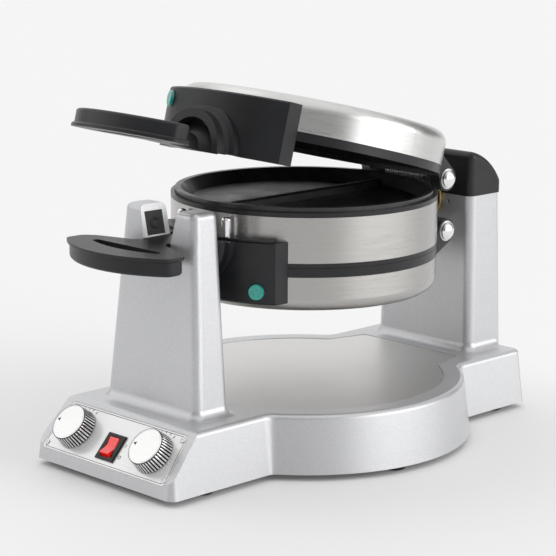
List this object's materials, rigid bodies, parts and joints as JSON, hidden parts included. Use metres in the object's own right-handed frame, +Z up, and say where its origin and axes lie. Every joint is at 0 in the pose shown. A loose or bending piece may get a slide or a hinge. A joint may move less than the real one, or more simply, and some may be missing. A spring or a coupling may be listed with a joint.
{
  "type": "rotary waffle and omelette maker",
  "caption": "Countertop breakfast cooker: a round unit with hinged lids turns end over end between a slotted front fork and a rear tower, above a base with dials and a rocker switch.",
  "frame": {"origin": "on the table, below the middle of the overall length and width", "axes": "+Y from the control panel to the rear tower along the turning axis, +X to the right as seen from the control panel, +Z up"},
  "size_m": [0.27, 0.4047, 0.2861],
  "materials": {
    "silver_paint": "silver lacquer",
    "tray_steel": "brushed",
    "band_steel": "brushed",
    "panel_steel": "polished",
    "black_plastic": "satin",
    "black_metal": "satin black",
    "non_stick": "black non-stick coating",
    "black_trim": "satin",
    "chrome": "polished",
    "spring_steel": "drawn wire",
    "plain_steel": "plain",
    "bush_brass": "sintered",
    "heater_steel": "oxidised",
    "screw_steel": "plated",
    "rubber": "matt",
    "knob_side": "ribbed, metallised",
    "knob_face": "polished",
    "control_metal": "plain",
    "switch_black": "gloss",
    "rocker_red": "translucent red",
    "lamp_teal": "translucent teal",
    "board_green": "lacquered",
    "terminal_white": "moulded"
  },
  "bodies": {
    "base": {"base_housing": "silver_paint", "bearing_block": "plain_steel", "bearing_bush": "bush_brass", "bearing_screws": "screw_steel", "bottom_cover": "black_plastic", "control_board": "board_green", "control_panel": "panel_steel", "cord_gland": "rubber", "cover_screws": "screw_steel", "fork_liner": "black_plastic", "fork_pads": "black_plastic", "left_thermostat_control": "control_metal", "panel_screws": "screw_steel", "rear_cap": "black_plastic", "relays": "switch_black", "right_thermostat_control": "control_metal", "rubber_feet": "rubber", "steel_tray": "tray_steel", "switch_case": "switch_black", "terminal_block": "terminal_white"},
    "cooking_unit": {"middle_band": "band_steel", "middle_trim_rings": "black_trim", "omelette_plate_middle": "non_stick", "waffle_plate_middle": "non_stick", "middle_partition": "plain_steel", "omelette_heater_middle": "heater_steel", "waffle_heater_middle": "heater_steel", "middle_thermostats": "plain_steel", "guide_plate": "black_metal", "guide_pins": "chrome", "rear_hinge_block": "black_metal", "hinge_block_screws": "screw_steel", "rotor_shaft": "plain_steel", "shaft_collar": "plain_steel", "hinge_pin_upper": "chrome", "hinge_pin_lower": "chrome", "hinge_spring_upper": "spring_steel", "hinge_spring_lower": "spring_steel", "lower_bracket": "black_plastic", "lower_handle": "black_plastic", "lower_hinge_arm": "black_metal", "lower_lamp": "lamp_teal", "lower_lid_heater": "heater_steel", "lower_lid_plate": "non_stick", "lower_lid_ring": "black_trim", "lower_lid_shell": "band_steel"},
    "upper_lid": {"upper_bracket": "black_plastic", "upper_handle": "black_plastic", "upper_hinge_arm": "black_metal", "upper_lamp": "lamp_teal", "upper_lid_heater": "heater_steel", "upper_lid_plate": "non_stick", "upper_lid_ring": "black_trim", "upper_lid_shell": "band_steel"},
    "left_knob": {"left_knob_body": "knob_side", "left_knob_cap": "knob_face"},
    "right_knob": {"right_knob_body": "knob_side", "right_knob_cap": "knob_face"},
    "power_switch": {"power_rocker": "rocker_red"}
  },
  "joints": [
    {"name": "unit_spin", "type": "hinge", "parent": "base", "child": "cooking_unit", "pos_m": [0, 0.01175, 0.176], "axis": [0, 1, 0], "range_deg": [-90, 90]},
    {"name": "upper_lid_hinge", "type": "hinge", "parent": "cooking_unit", "child": "upper_lid", "pos_m": [0, 0.13475, 0.1975], "axis": [-1, 0, 0], "range_deg": [-15, 50]},
    {"name": "left_knob_turn", "type": "hinge", "parent": "base", "child": "left_knob", "pos_m": [-0.0435, -0.18425, 0.03075], "axis": [0, 0.7385, -0.6743], "range_deg": [-45, 225]},
    {"name": "right_knob_turn", "type": "hinge", "parent": "base", "child": "right_knob", "pos_m": [0.0435, -0.18425, 0.03075], "axis": [0, 0.7385, -0.6743], "range_deg": [-45, 225]},
    {"name": "power_rocker_tilt", "type": "hinge", "parent": "base", "child": "power_switch", "pos_m": [0, -0.18782, 0.02684], "axis": [1, 0, 0], "range_deg": [0, 16]}
  ]
}
